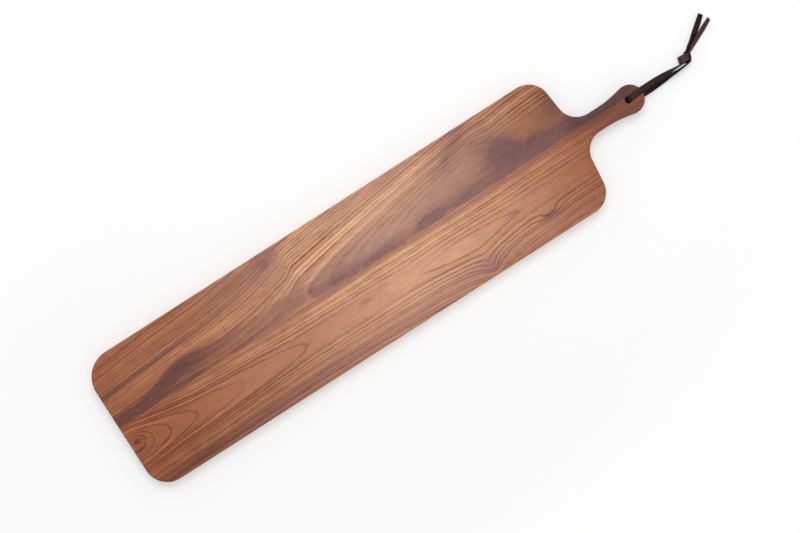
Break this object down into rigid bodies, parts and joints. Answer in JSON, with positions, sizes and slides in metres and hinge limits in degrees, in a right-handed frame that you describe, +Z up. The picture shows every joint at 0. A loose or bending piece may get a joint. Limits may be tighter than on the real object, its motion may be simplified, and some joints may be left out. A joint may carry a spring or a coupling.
{
  "type": "cutting board with handle",
  "caption": "Long flat walnut serving and cutting board with rounded corners, a waisted handle with a hanging hole, and a knotted leather lace looped through it.",
  "frame": {"origin": "on the table, under the middle of the wooden board's outline, panel and handle together", "axes": "+X along the board towards the handle, +Y across it towards the left stave, +Z up from the underside to the worktop"},
  "size_m": [0.9307, 0.19, 0.0203],
  "materials": {
    "walnut_left": "oiled walnut, satin, with dark heartwood along the glued edge",
    "walnut_right": "oiled walnut, satin, flat-sawn with arched grain",
    "dried_glue": "cured wood glue, sanded flush",
    "lace_leather": "dark brown leather lace, dull satin"
  },
  "bodies": {
    "board": {"left_stave": "walnut_left", "right_stave": "walnut_right", "glue_line": "dried_glue", "glue_line_tip": "dried_glue"},
    "lace": {"lace_hole_turn": "lace_leather", "lace_top_strand": "lace_leather", "lace_bottom_strand": "lace_leather", "lace_knot": "lace_leather", "lace_left_tail": "lace_leather", "lace_right_tail": "lace_leather"}
  },
  "joints": [
    {"name": "lace_swing", "type": "hinge", "parent": "board", "child": "lace", "pos_m": [0.38035, 0.0042, 0.009], "axis": [0, 0, 1], "range_deg": [-90, 90]}
  ]
}
